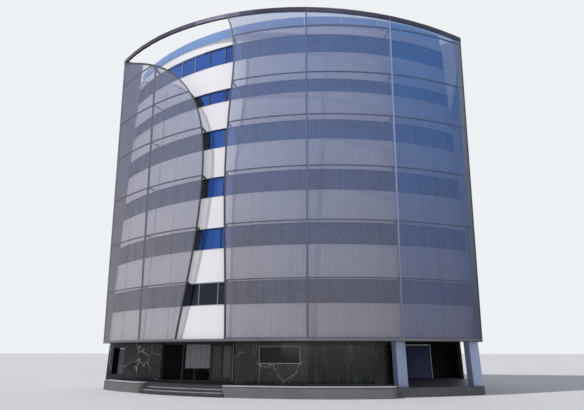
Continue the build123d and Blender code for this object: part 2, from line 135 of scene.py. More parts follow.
# window bars: mullions evenly spread, but moved on a little in each row left of the gap, and
# transoms that end well before the gap, with angles in degrees
MULLION_FIRST, MULLION_STEP, MULLION_COUNT = -35.8, 3.8, 20
LEFT_SHIFTS = (1.2, 1.15, 1.15, 1.15, 0.6, 0.1)
MULLION = 0.036
BAR_BACK = GLASS_R - 0.02
TRANSOM_SHARE = 0.68
TRANSOM_CLEAR = 2.0

SQUARE = (-1, -1), (1, -1), (1, 1), (-1, 1)


class Shape:
    """Collects the corners and faces of one piece."""

    def __init__(self):
        self.verts, self.faces = [], []

    def band(self, rings):
        """Surface through rings with the same number of corners, closed along each ring."""
        base, n = len(self.verts), len(rings[0])
        for ring in rings:
            self.verts += [tuple(p) for p in ring]
        for low in range(base, len(self.verts) - n, n):
            for i in range(n):
                j = (i + 1) % n
                self.faces.append((low + i, low + j, low + n + j, low + n + i))

    def solid(self, *rings):
        """Closed solid through rings with the same number of corners."""
        base, n = len(self.verts), len(rings[0])
        self.band(rings)
        self.faces.append(tuple(reversed(range(base, base + n))))
        self.faces.append(tuple(range(len(self.verts) - n, len(self.verts))))

    def upright(self, plan, z0, z1):
        """Plan corners raised between two heights."""
        self.solid([(x, y, z0) for x, y in plan], [(x, y, z1) for x, y in plan])

    def box(self, x0, x1, y0, y1, z0, z1):
        self.upright(((x0, y0), (x1, y0), (x1, y1), (x0, y1)), z0, z1)

    def rod(self, a, b, radius, sides=10):
        """Round bar between two points."""
        a, b = Vector(a), Vector(b)
        along = (b - a).normalized()
        side = along.orthogonal().normalized()
        other = along.cross(side)
        turns = [2 * pi * i / sides for i in range(sides)]
        ring = [side * (radius * cos(t)) + other * (radius * sin(t)) for t in turns]
        self.solid([a + r for r in ring], [b + r for r in ring])


def make(name, shape, look, body="building", bevel=0.0, smooth=False):
    """Turns a shape into a piece with one of the looks that rides on a body."""
    mesh = bpy.data.meshes.new(name)
    mesh.from_pydata(shape.verts, [], shape.faces)
    mesh.update()
    piece = bpy.data.objects.new(name, mesh)
    scene.collection.objects.link(piece)
    mesh.materials.append(LOOKS[look])
    if bevel:
        rounding = piece.modifiers.new("bevel", "BEVEL")
        rounding.width, rounding.segments = bevel, 2
        rounding.limit_method, rounding.angle_limit = "ANGLE", radians(50)
    for polygon in mesh.polygons:
        polygon.use_smooth = smooth
    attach(piece, body)
    return piece


# positions on the round front and on the leaning screen

def polar(radius, angle, centre=CENTRE_Y):
    a = radians(angle)
    return radius * sin(a), centre - radius * cos(a)


def on_facet(radius, angle, centre):
    """Point on the flat facets of the round front at an angle."""
    number = floor((angle + HALF_ANGLE) / FACET + 1e-6)
    start = number * FACET - HALF_ANGLE
    share = (angle - start) / FACET
    x0, y0 = polar(radius, start, centre)
    x1, y1 = polar(radius, start + FACET, centre)
    return x0 + (x1 - x0) * share, y0 + (y1 - y0) * share


def on_screen(angle, z, out=0.0):
    """Point on the facets of the screen, moved out from its face."""
    rise = z - SOFFIT
    x, y = on_facet(SCREEN_R + SCREEN_SPREAD * rise + out, angle, SCREEN_Y + SCREEN_RETREAT * rise)
    return x, y, z


def directions(angle):
    """Outward and sideways directions at an angle of the front."""
    a = radians(angle)
    return Vector((sin(a), -cos(a))), Vector((cos(a), sin(a)))


def facet_angles(a0, a1):
    """Two end angles and the facet edges between them."""
    first = ceil((a0 + HALF_ANGLE) / FACET + 0.01)
    last = floor((a1 + HALF_ANGLE) / FACET - 0.01)
    return [a0, *(number * FACET - HALF_ANGLE for number in range(first, last + 1)), a1]


def even_angles(a0, a1, step):
    """Angles spread evenly from one to the other, about a step apart."""
    count = max(1, round((a1 - a0) / step))
    return [a0 + (a1 - a0) * i / count for i in range(count + 1)]


def round_bar(shape, r_in, r_out, angles, z0, z1):
    """Bar along the front, straight between neighbouring angles."""
    for p, q in zip(angles[:-1], angles[1:]):
        shape.upright((polar(r_out, p), polar(r_out, q), polar(r_in, q), polar(r_in, p)), z0, z1)


def post_at(shape, radius, angle, width, depth, z0, z1):
    """Upright bar at an angle of the front, its back at a radius."""
    out, side = directions(angle)
    centre = Vector(polar(radius, angle))
    left, right = centre - side * (width / 2), centre + side * (width / 2)
    shape.upright((left, right, right + out * depth, left + out * depth), z0, z1)


def smooth_edge(points, steps=60):
    """Natural cubic curve in front view through a free edge's angles and heights."""
    spots = np.array([((SCREEN_R + SCREEN_SPREAD * (z - SOFFIT)) * sin(radians(angle)), z)
                      for angle, z in points])
    reach = np.concatenate(([0], np.cumsum(np.linalg.norm(np.diff(spots, axis=0), axis=1))))
    count, gaps = len(reach), np.diff(reach)
    matrix, rhs = np.zeros((count, count)), np.zeros((count, 2))
    matrix[0, 0] = matrix[-1, -1] = 1
    for i in range(1, count - 1):
        matrix[i, i - 1:i + 2] = gaps[i - 1], 2 * (gaps[i - 1] + gaps[i]), gaps[i]
        rhs[i] = 6 * ((spots[i + 1] - spots[i]) / gaps[i] - (spots[i] - spots[i - 1]) / gaps[i - 1])
    bend = np.linalg.solve(matrix, rhs)
    curve = []
    for s in np.linspace(0, reach[-1], steps):
        i = min(count - 2, max(0, int(np.searchsorted(reach, s) - 1)))
        d, e, gap = s - reach[i], reach[i + 1] - s, gaps[i]
        curve.append((bend[i] * e ** 3 + bend[i + 1] * d ** 3) / (6 * gap)
                     + (spots[i] / gap - bend[i] * gap / 6) * e
                     + (spots[i + 1] / gap - bend[i + 1] * gap / 6) * d)
    return np.array(curve)


sail_curve = smooth_edge(SAIL_EDGE)[::-1]
gap_curve = smooth_edge(GAP_EDGE)


def edge_x(curve, z):
    """Where a free edge lies across the front at a height."""
    return float(np.interp(z, curve[:, 1], curve[:, 0]))


def in_sail(x, z):
    return x < edge_x(sail_curve, z) - EDGE_CLEARANCE


def right_of_gap(x, z):
    return x > edge_x(gap_curve, z) + EDGE_CLEARANCE


def top_z(x, y):
    """Height of the top rail's underside over a plan point."""
    return (TOP_POINT[2] - TOP_TUBE - TOP_SLOPE[0] * (x - TOP_POINT[0])
            - TOP_SLOPE[1] * (y - TOP_POINT[1]))


# shader nodes

def new_material(name, stretch=(1, 1, 1)):
    """New material with its node tree and its object coordinates."""
    material = bpy.data.materials.new(name)
    material.use_nodes = True
    return material, material.node_tree, place(material.node_tree, stretch)


def plug(tree, value, socket):
    """Sets a socket to a number or colour, or links another socket to it."""
    if isinstance(value, (int, float)):
        socket.default_value = value
    elif isinstance(value, tuple):
        socket.default_value = (*value, 1) if len(socket.default_value) == 4 else value
    else:
        tree.links.new(value, socket)


def add_node(tree, kind, **values):
    """New shader node, with sockets set or linked by name."""
    node = tree.nodes.new(kind)
    for name, value in values.items():
        plug(tree, value, node.inputs[name])
    return node


def place(tree, scale):
    """Object coordinates, stretched by a scale."""
    spot = add_node(tree, "ShaderNodeTexCoord").outputs["Object"]
    return add_node(tree, "ShaderNodeMapping", Vector=spot, Scale=scale).outputs["Vector"]


def noise(tree, vector, scale, detail=4.0, rough=0.55, output="Fac"):
    node = add_node(tree, "ShaderNodeTexNoise", Vector=vector, Scale=scale, Detail=detail, Roughness=rough)
    return node.outputs[output]


def ramp(tree, value, stops):
    """Colours at places along a value, blended between them."""
    node = add_node(tree, "ShaderNodeValToRGB", Fac=value)
    stops, elements = list(stops), node.color_ramp.elements
    while len(elements) < len(stops):
        elements.new(0.5)
    for element, (position, colour) in zip(elements, stops):
        element.position, element.color = position, (*colour, 1)
    return node.outputs["Color"]


def mix(tree, share, a, b):
    node = add_node(tree, "ShaderNodeMix")
    node.data_type = "RGBA"
    for value, number in ((share, 0), (a, 6), (b, 7)):
        plug(tree, value, node.inputs[number])
    return node.outputs[2]


def maths(tree, operation, *values, kind="ShaderNodeMath"):
    """Result of an operation on numbers, or on vectors with a vector node as its kind."""
    node = add_node(tree, kind)
    node.operation = operation
    for value, socket in zip(values, node.inputs):
        plug(tree, value, socket)
    return node.outputs[0]


def scaled(tree, value, factor, offset):
    return maths(tree, "MULTIPLY_ADD", value, factor, offset)


def clamp(tree, value):
    return maths(tree, "MINIMUM", maths(tree, "MAXIMUM", value, 0.0), 1.0)


def fade(tree, value, factor, offset):
    """Scaled value, kept between 0 and 1."""
    return clamp(tree, scaled(tree, value, factor, offset))


def product(tree, *values):
    result = values[0]
    for value in values[1:]:
        result = maths(tree, "MULTIPLY", result, value)
    return result


def above(tree, value, limit):
    return maths(tree, "GREATER_THAN", value, limit)


def below(tree, value, limit):
    return maths(tree, "LESS_THAN", value, limit)


def blend(tree, a, b, share):
    """Sum of two values, the second weighted by a share."""
    return maths(tree, "ADD", product(tree, a, 1 - share), product(tree, b, share))


def bump(tree, height, strength, distance):
    node = add_node(tree, "ShaderNodeBump", Strength=strength, Distance=distance, Height=height)
    return node.outputs["Normal"]


def split(tree, vector):
    return add_node(tree, "ShaderNodeSeparateXYZ", Vector=vector).outputs


def turn_about(tree, parts, centre):
    """Angle in degrees about an upright axis behind the front."""
    back = maths(tree, "SUBTRACT", centre, parts["Y"])
    return product(tree, maths(tree, "ARCTAN2", parts["X"], back), 180 / pi)


def front_angle(tree, parts):
    """Angle about the centre of the round front."""
    return turn_about(tree, parts, CENTRE_Y)


def screen_angle(tree, parts):
    """Angle about the centre of the screen, which moves back with height."""
    foot = SCREEN_Y - SCREEN_RETREAT * SOFFIT
    return turn_about(tree, parts, scaled(tree, parts["Z"], SCREEN_RETREAT, foot))


def share_at(angle):
    """Angle of the front as a share, from 0 at the left end to 1 at the right."""
    return (angle + HALF_ANGLE) / (2 * HALF_ANGLE)


def share_of(tree, angle):
    """The same share, for an angle from a shader node."""
    return scaled(tree, angle, 0.5 / HALF_ANGLE, 0.5)


def edge_share(tree, parts, edge, beyond=0.0):
    """Share of the front at which a free edge lies at this height, moved on by some degrees."""
    node = add_node(tree, "ShaderNodeFloatCurve", Value=maths(tree, "DIVIDE", parts["Z"], FRONT_TOP))
    points = node.mapping.curves[0].points
    spots = sorted((z / FRONT_TOP, share_at(angle + beyond)) for angle, z in edge)
    points[0].location, points[-1].location = spots[0], spots[-1]
    for spot in spots[1:-1]:
        points.new(*spot)
    node.mapping.update()
    return node.outputs[0]


def open_gap(tree, parts):
    """1 where the wall is open between the two screens, 0 behind the screens, where glass and bars get
    painted shade and painted reflection of the screens.
    """
    share = share_of(tree, front_angle(tree, parts))
    left = above(tree, share, edge_share(tree, parts, SAIL_EDGE_IN_GLASS))
    right = below(tree, share, edge_share(tree, parts, GAP_EDGE, 0.35))
    return product(tree, left, right)


def finished(material, **values):
    """The material, with its shader's sockets set or linked by name, underscores for spaces."""
    tree = material.node_tree
    for name, value in values.items():
        plug(tree, value, tree.nodes["Principled BSDF"].inputs[name.replace("_", " ")])
    return material


# materials

def surface(name, dark, light, scale=0.6, rough=0.5, metallic=0.0, fine=30.0, relief=0.15,
            stretch=(1, 1, 1), specular=0.5, alpha=1.0, spread=0.08):
    """Painted, cast or brushed surface: slow colour drift, fine grain, uneven roughness."""
    material, tree, vector = new_material(name, stretch)
    slow = noise(tree, vector, scale, 5.0, 0.6)
    grain = noise(tree, vector, fine, 3.0, 0.6)
    colour = ramp(tree, blend(tree, slow, grain, 0.25), ((0.33, dark), (0.67, light)))
    uneven = scaled(tree, slow, spread * 2, rough - spread)
    return finished(material, Base_Color=colour, Roughness=uneven, Metallic=metallic, Alpha=alpha,
                    Specular_IOR_Level=specular, Normal=bump(tree, grain, relief, 0.004))


def jointed(name, dark, light, joint, size, width, rough):
    """Level slabs or sheets with straight joints on a grid."""
    material, tree, vector = new_material(name)
    parts = split(tree, vector)
    joints = 0.0
    for axis, step in zip("XY", size):
        cell = maths(tree, "FRACT", maths(tree, "DIVIDE", parts[axis], step))
        near = maths(tree, "MINIMUM", cell, maths(tree, "SUBTRACT", 1.0, cell))
        joints = maths(tree, "MAXIMUM", joints, below(tree, near, width / step / 2))
    slow = noise(tree, vector, 0.9, 5.0, 0.6)
    grain = noise(tree, vector, 25.0, 3.0, 0.6)
    base = ramp(tree, blend(tree, slow, grain, 0.3), ((0.33, dark), (0.67, light)))
    height = maths(tree, "SUBTRACT", product(tree, grain, 0.3), joints)
    return finished(material, Base_Color=mix(tree, joints, base, joint),
                    Roughness=scaled(tree, slow, 0.15, rough - 0.07),
                    Normal=bump(tree, height, 0.2, 0.006))


def black_marble():
    """Polished black marble with a few long pale veins that run like cracks."""
    material, tree, vector = new_material("black_marble", (1.0, 1.0, 0.75))
    waves = noise(tree, vector, 1.3, 5.0, 0.5, "Color")
    bent = maths(tree, "MULTIPLY_ADD", waves, (0.8, 0.8, 0.8), vector, kind="ShaderNodeVectorMath")
    veins = 0.0
    for scale, width, patches, keep, strength in (
            (0.62, 0.01, 0.55, 0.47, 1.0), (1.25, 0.009, 0.8, 0.53, 0.6),
            (2.6, 0.012, 1.1, 0.58, 0.35)):
        cells = add_node(tree, "ShaderNodeTexVoronoi", Vector=bent, Scale=scale)
        cells.feature = "DISTANCE_TO_EDGE"
        line = maths(tree, "SUBTRACT", 1.0, maths(tree, "DIVIDE", cells.outputs["Distance"], width))
        area = fade(tree, noise(tree, vector, patches, 2.0), 14.0, -14.0 * keep)
        line = product(tree, clamp(tree, line), area, strength)
        veins = maths(tree, "MAXIMUM", veins, line)
    cloud = noise(tree, vector, 2.4, 6.0, 0.65)
    base = ramp(tree, cloud, ((0.3, (0.012, 0.013, 0.014)), (0.62, (0.026, 0.027, 0.029)),
                              (0.8, (0.048, 0.049, 0.052))))
    return finished(material, Base_Color=mix(tree, veins, base, (0.47, 0.47, 0.46)),
                    Roughness=scaled(tree, cloud, 0.14, 0.1), Specular_IOR_Level=0.35)


def tinted_glass(name, dark, mid, light, step=MULLION_STEP, first=MULLION_FIRST, axis=None,
                 screened=False, alpha=1.0, rough=0.12):
    """Tinted glass whose panes differ a little in tone.

    Screened glass is dark behind the screens, painted shade and painted reflection of the screens' backs,
    and bluer there at the upper right, painted sky reflection. Its blue in the open gap is painted sky
    reflection too. It is near black in its lowest row."""
    material, tree, vector = new_material(name)
    parts = split(tree, vector)
    along = parts[axis] if axis else front_angle(tree, parts)
    cell = maths(tree, "FLOOR", maths(tree, "DIVIDE", maths(tree, "SUBTRACT", along, first), step))
    row = maths(tree, "FLOOR", maths(tree, "DIVIDE", parts["Z"], STOREY))
    pane = add_node(tree, "ShaderNodeCombineXYZ", X=cell, Y=row).outputs[0]
    chance = add_node(tree, "ShaderNodeTexWhiteNoise", Vector=pane)
    tone = blend(tree, chance.outputs["Value"], noise(tree, vector, 0.35, 3.0), 0.65)
    colour = ramp(tree, tone, ((0.25, dark), (0.5, mid), (0.75, light)))
    # painted light: sky reflection kept to the open gap, painted shade and reflection of the screens
    # behind them
    if screened:
        high = fade(tree, parts["Z"], 0.12, -0.75)
        right = above(tree, parts["X"], -3.0)
        behind = mix(tree, product(tree, high, right), (0.018, 0.021, 0.032), (0.018, 0.054, 0.17))
        colour = mix(tree, open_gap(tree, parts), behind, colour)
        lift = fade(tree, parts["Z"], 1 / 0.6, -6.2 / 0.6)
        colour = mix(tree, lift, (0.01, 0.012, 0.02), colour)
    return finished(material, Base_Color=colour, Roughness=rough, Specular_IOR_Level=0.25, Alpha=alpha,
                    Normal=bump(tree, noise(tree, vector, 1.7, 2.0), 0.03, 0.02))


def panels_with_painted_reflections():
    """Dark polished panels with faint upright streaks of brown and green, painted reflections of plants.
    """
    material, tree, vector = new_material("dark_panel", (1, 1, 0.22))
    # painted reflection: the brown and green streaks stand for plants mirrored in the panels
    streak = noise(tree, vector, 4.5, 5.0, 0.7)
    patch = noise(tree, vector, 1.3, 3.0)
    tint = ramp(tree, patch, ((0.35, (0.06, 0.045, 0.036)), (0.5, (0.052, 0.056, 0.05)),
                              (0.65, (0.045, 0.085, 0.055))))
    share = fade(tree, streak, 5.0, -2.5)
    return finished(material, Base_Color=mix(tree, share, (0.006, 0.007, 0.007), tint),
                    Roughness=0.16, Specular_IOR_Level=0.25,
                    Normal=bump(tree, noise(tree, vector, 6.0, 2.0), 0.05, 0.01))


# shares of the front at which the screen changes tone, painted shade and painted sky reflection included:
# its last bay and its end strip
SCREEN_STEPS = tuple(share_at(angle) + offset for angle in (RIGHT_POSTS[1], END_STRIP)
                     for offset in (-0.001, 0.001))


def screen_colour(tree, vector, parts):
    """Tone of the screen: pale lilac at the left, darker to the right as painted shade, bluer in the last
    bay as painted sky reflection.

    The foot is greyer than the top, whose blue is painted sky reflection, and a grey strip runs up the
    right end."""
    # painted light: shade to the right, and sky reflection in the last bay and towards the top
    share = share_of(tree, screen_angle(tree, parts))
    places = (0.0, 0.34, 0.55, *SCREEN_STEPS)
    low = ramp(tree, share, zip(places, (
        (0.5, 0.465, 0.49), (0.38, 0.36, 0.39), (0.27, 0.255, 0.3), (0.23, 0.225, 0.28),
        (0.18, 0.195, 0.31), (0.165, 0.18, 0.29), (0.1, 0.11, 0.145))))
    high = ramp(tree, share, zip(places, (
        (0.41, 0.41, 0.56), (0.33, 0.375, 0.58), (0.22, 0.32, 0.61), (0.185, 0.29, 0.58),
        (0.095, 0.25, 0.6), (0.09, 0.235, 0.59), (0.2, 0.25, 0.33))))
    drift = scaled(tree, noise(tree, vector, 0.3, 4.0), 0.5, -0.25)
    height = scaled(tree, parts["Z"], 0.068, -0.24)
    return mix(tree, clamp(tree, maths(tree, "ADD", height, drift)), low, high)


def perforated_sheet():
    """Fine perforated sheet with upright streaks, more open at the left than at the right."""
    material, tree, vector = new_material("perforated_sheet")
    parts = split(tree, vector)
    angle = screen_angle(tree, parts)
    squares = []
    for way, step in ((angle, HOLE_STEP / METRES_A_DEGREE), (parts["Z"], HOLE_STEP)):
        cell = maths(tree, "SUBTRACT", maths(tree, "FRACT", maths(tree, "DIVIDE", way, step)), 0.5)
        squares.append(product(tree, cell, cell))
    hole = below(tree, maths(tree, "ADD", *squares), 0.07)
    # the sheet's colour carries painted shade and painted sky reflection from the screen's tone
    colour = screen_colour(tree, vector, parts)
    colour = mix(tree, product(tree, hole, 0.3), colour, (0.1, 0.1, 0.13))
    streak = noise(tree, place(tree, (1, 1, 0.015)), 5.0, 3.0, 0.7)
    streak = fade(tree, streak, 1.3, -0.6)
    colour = mix(tree, streak, colour, (0.1, 0.1, 0.14))
    covers = ((share,) * 3 for share in (0.24, 0.28, 0.34, 0.46, 0.46, 0.85))
    cover = ramp(tree, share_of(tree, angle), zip((0.0, 0.4, *SCREEN_STEPS), covers))
    return finished(material, Base_Color=colour, Alpha=cover, Roughness=0.6, Specular_IOR_Level=0.2,
                    Normal=bump(tree, noise(tree, vector, 45.0, 2.0), 0.05, 0.003))


def fold_paint():
    """Folds of the sheets, in a darker tone of the sheet."""
    material, tree, vector = new_material("sheet_folds")
    # the folds' colour carries painted shade and painted sky reflection from the screen's tone
    tone = screen_colour(tree, vector, split(tree, vector))
    return finished(material, Base_Color=mix(tree, 0.65, tone, (0.03, 0.035, 0.06)),
                    Roughness=scaled(tree, noise(tree, vector, 8.0), 0.2, 0.5), Specular_IOR_Level=0.2)


SIDE_TONES = (0.52, 0.52, 0.55), (0.62, 0.62, 0.65)


def ground_render():
    """Render of the ground floor's side and rear walls, near black on the inside as painted shade."""
    material, tree, vector = new_material("ground_render")
    parts = split(tree, vector)
    skin = 0.02
    # painted shade: the walls' inside faces are near black
    inside = product(tree, below(tree, maths(tree, "ABSOLUTE", parts["X"]), HALF_X - skin),
                     below(tree, parts["Y"], REAR - skin), above(tree, parts["Y"], WALL_END_Y + WALL))
    face = ramp(tree, noise(tree, vector, 0.4, 5.0), ((0.33, SIDE_TONES[0]), (0.67, SIDE_TONES[1])))
    return finished(material, Base_Color=mix(tree, inside, face, (0.03, 0.03, 0.033)), Roughness=0.75,
                    Normal=bump(tree, noise(tree, vector, 30.0, 3.0), 0.2, 0.004))


# across the front: the corner of the bars with painted light, and where the posts turn pale, painted
# light, and then dark, painted shade
PALE_CORNER = -4.6
PALE_POSTS, DARK_POSTS = 5.0, 10.5


def bar_paint_and_light():
    """Bars of the front windows: dark behind the screens as painted shade, and pale in parts of the open
    gap as painted light.

    In the gap the lowest row is pale, and so is the left part of the top row, both painted light."""
    material, tree, vector = new_material("front_bar_paint")
    parts = split(tree, vector)
    # painted light on the bars: the top row's left corner and the lowest row in the gap; painted shade
    # behind the screens
    corner = product(tree, below(tree, parts["X"], PALE_CORNER), above(tree, parts["Z"], HEADS[4]))
    lit = maths(tree, "MAXIMUM", corner, below(tree, parts["Z"], SILLS[1]))
    shade = scaled(tree, noise(tree, vector, 0.8, 2.0), 0.3, 0.7)
    bare = mix(tree, product(tree, lit, shade), (0.022, 0.04, 0.1), (0.27, 0.31, 0.41))
    return finished(material, Roughness=0.45, Specular_IOR_Level=0.3,
                    Base_Color=mix(tree, open_gap(tree, parts), (0.008, 0.009, 0.014), bare))


def fin_paint():
    """End fins: in the dark at the left, catching the sun at the right."""
    material, tree, vector = new_material("fin_paint")
    right = above(tree, split(tree, vector)["X"], 0.0)
    colour = mix(tree, right, (0.11, 0.11, 0.13), (0.46, 0.45, 0.42))
    colour = mix(tree, product(tree, noise(tree, vector, 1.2), 0.3), colour, (0.12, 0.12, 0.14))
    return finished(material, Base_Color=colour, Roughness=0.55, Specular_IOR_Level=0.3)


def rim_paint_and_shade():
    """Rim under the screens: grey face over a near black lower part, painted shade."""
    material, tree, vector = new_material("rim_paint_and_shade")
    grain = noise(tree, vector, 0.9, 5.0)
    face = ramp(tree, grain, ((0.35, (0.105, 0.1, 0.11)), (0.65, (0.145, 0.14, 0.152))))
    # painted shade: the rim's face is near black below this height
    painted_shade_part = below(tree, split(tree, vector)["Z"], RIM_SHADE_TOP)
    return finished(material, Base_Color=mix(tree, painted_shade_part, face, (0.012, 0.012, 0.014)),
                    Roughness=scaled(tree, grain, 0.2, 0.4))


def post_paint_and_light():
    """Posts of the screen: blue near the middle, lighter and bluer towards the top, painted sky
    reflection; pale further right, painted light; dark at the right end, painted shade.
    """
    material, tree, vector = new_material("screen_post_paint")
    parts = split(tree, vector)
    # painted light and shade on the posts, by where they stand across the front and by height
    pale = above(tree, parts["X"], PALE_POSTS)
    dark = above(tree, parts["X"], DARK_POSTS)
    high = fade(tree, parts["Z"], 0.11, -0.45)
    blue = mix(tree, high, (0.06, 0.065, 0.105), (0.075, 0.115, 0.28))
    bright = mix(tree, high, (0.15, 0.16, 0.23), (0.29, 0.34, 0.54))
    colour = mix(tree, dark, mix(tree, pale, blue, bright), (0.018, 0.018, 0.026))
    grain = noise(tree, vector, 12.0, 3.0)
    colour = mix(tree, product(tree, grain, 0.2), colour, (0.05, 0.055, 0.08))
    return finished(material, Base_Color=colour, Roughness=scaled(tree, grain, 0.1, 0.4))


LOOKS = {
    "white": surface("white_render", (0.69, 0.665, 0.69), (0.76, 0.735, 0.76), 0.35, 0.6, relief=0.06),
    "side_ground": ground_render(),
    "side": surface("side_render", *SIDE_TONES, 0.4, 0.7, relief=0.25),
    "concrete": surface("cast_concrete", (0.22, 0.22, 0.23), (0.33, 0.33, 0.34), 1.2, 0.8, relief=0.4),
    # near black car port back: painted shade of the deep car port
    "dark_wall": surface("carport_back_shade", (0.008, 0.008, 0.009), (0.016, 0.016, 0.018), 0.8, 0.8,
                         specular=0.1),
    "roof": jointed("roof_sheet", (0.26, 0.26, 0.28), (0.35, 0.35, 0.37), (0.14, 0.14, 0.15),
                    (1.0, 4.0), 0.03, 0.75),
    "paving": jointed("paving_slabs", (0.04, 0.04, 0.05), (0.07, 0.07, 0.084),
                      (0.018, 0.018, 0.022), (0.6, 0.6), 0.012, 0.5),
    "riser": surface("step_risers", (0.23, 0.23, 0.24), (0.32, 0.32, 0.33), 2.0, 0.55),
    "step_edge": surface("step_edge_stone", (0.016, 0.016, 0.019), (0.032, 0.032, 0.037), 2.0, 0.6),
    "planter": surface("planter_render", (0.095, 0.092, 0.096), (0.145, 0.141, 0.146), 0.8, 0.7,
                       relief=0.25),
    "coping": surface("planter_coping", (0.4, 0.4, 0.42), (0.5, 0.5, 0.52), 1.5, 0.5),
    "bright": surface("garage_trim_paint", (0.8, 0.8, 0.82), (0.88, 0.88, 0.9), 1.5, 0.5),
    "sill": surface("white_sills", (0.6, 0.6, 0.64), (0.7, 0.7, 0.74), 1.5, 0.45),
    "soil": surface("planting_soil", (0.022, 0.015, 0.01), (0.07, 0.048, 0.032), 6.0, 0.95,
                    fine=60.0, relief=0.9),
    "marble": black_marble(),
    "panel": panels_with_painted_reflections(),
    "blue": tinted_glass("blue_glass", (0.012, 0.058, 0.25), (0.02, 0.08, 0.32),
                         (0.03, 0.108, 0.39), screened=True),
    "far_blue": tinted_glass("far_blue_glass", (0.01, 0.045, 0.18), (0.016, 0.062, 0.24),
                             (0.024, 0.085, 0.3), 1.4, 0.0, "X"),
    "guard": surface("guard_glass", (0.06, 0.22, 0.58), (0.1, 0.29, 0.66), 0.3, 0.12, relief=0.0,
                     alpha=0.6, spread=0.02, specular=0.3),
    "lobby": tinted_glass("lobby_glass", (0.004, 0.004, 0.006), (0.009, 0.009, 0.011),
                          (0.016, 0.016, 0.02), 0.9, 0.0, "X", alpha=0.12, rough=0.06),
    "black_glass": tinted_glass("black_glass", (0.004, 0.004, 0.006), (0.007, 0.007, 0.01),
                                (0.012, 0.012, 0.016), 1.1, 0.0, "X", rough=0.08),
    # black slot window: painted shade of the dark space behind it
    "black": surface("slot_opening_shade", (0.001, 0.001, 0.001), (0.003, 0.003, 0.003), 1.0, 0.9,
                     specular=0.0),
    "door_glass": surface("door_glass", (0.075, 0.075, 0.08), (0.115, 0.115, 0.12), 0.8, 0.25),
    "dark_glass": surface("dark_door_glass", (0.01, 0.01, 0.012), (0.026, 0.026, 0.03), 0.8, 0.2),
    "dark": surface("dark_frame", (0.01, 0.01, 0.012), (0.022, 0.022, 0.026), 3.0, 0.45, 0.2),
    "bars": bar_paint_and_light(),
    "far_bars": surface("window_bars", (0.1, 0.12, 0.18), (0.16, 0.18, 0.25), 3.0, 0.4, 0.2),
    "blind": surface("blind_cloth", (0.56, 0.56, 0.58), (0.68, 0.68, 0.7), 2.5, 0.85, fine=120.0,
                     relief=0.3, stretch=(1, 1, 3)),
    "column": surface("column_paint", (0.25, 0.3, 0.45), (0.36, 0.41, 0.58), 0.7, 0.5, relief=0.1),
    "navy": surface("navy_paint", (0.014, 0.02, 0.105), (0.024, 0.034, 0.165), 1.0, 0.5),
    "mesh": perforated_sheet(),
    "fold": fold_paint(),
    "post": post_paint_and_light(),
    "sail_post": surface("sail_post_paint", (0.065, 0.07, 0.105), (0.1, 0.107, 0.15), 1.5, 0.45),
    "rail_dark": surface("screen_rails", (0.04, 0.043, 0.075), (0.075, 0.08, 0.125), 1.5, 0.45),
    "frame": surface("screen_frame_dark", (0.014, 0.014, 0.02), (0.028, 0.028, 0.04), 1.5, 0.5),
    "rail": surface("top_rail_paint", (0.04, 0.039, 0.062), (0.062, 0.06, 0.092), 0.8, 0.28, 0.9),
    "fin": fin_paint(),
    "rim": rim_paint_and_shade(),
    "stone": surface("grey_stone_panel", (0.035, 0.036, 0.042), (0.062, 0.063, 0.072), 3.0, 0.35),
    "metal": surface("light_metal", (0.3, 0.31, 0.34), (0.42, 0.43, 0.47), 3.0, 0.4, 0.5),
}

FINISH = {
    "paving": ("base_slab", "lower_step", "upper_step"),
    "planter": ("planter_left", "planter_right"),
    "marble": ("marble_wall_left", "marble_wall_middle", "marble_return", "marble_band_right"),
    "lobby": ("entrance_glass",),
    "black": ("slot_window",),
    "black_glass": ("middle_window",),
    "panel": ("ground_glazing_right", "carport_side_wall"),
    "dark_wall": ("carport_back_piers", "carport_back_beam"),
    "concrete": ("floor_slabs",),
    "navy": ("garage_door",),
    "column": ("columns",),
    "side": ("corner_piers", "side_walls", "rear_wall"),
    "side_ground": ("ground_side_walls", "ground_rear_wall"),
    "dark": ("entrance_posts", "entrance_head_beam", "entrance_door_left", "entrance_door_right",
             "door_pivots"),
    "blind": ("entrance_blind",),
    "white": ("front_wall_odd_bays", "front_wall_even_bays"),
    "blue": ("front_windows_odd_bays", "front_windows_even_bays"),
    "far_blue": ("side_windows", "rear_windows"),
    "roof": ("roof_slab",),
    "guard": ("glass_guard",),
    "mesh": ("sail_sheets", "screen_sheets"),
    "post": ("screen_mullions",),
    "rail_dark": ("sail_rails", "screen_rails"),
    "sail_post": ("sail_mullions",),
    "frame": ("edge_trims", "screen_arms"),
    "rail": ("top_rail",),
    "rim": ("bottom_rim",),
    "fin": ("end_fins",),
}
for key, names in FINISH.items():
    for name in names:
        for holder in nodes[name].material_slots:
            holder.material = LOOKS[key]


# windows of the upper floors

def covered(angle, z):
    """Whether the screen hangs in front of a place on the round front."""
    x = on_screen(angle, z)[0]
    return in_sail(x, z) or right_of_gap(x, z)


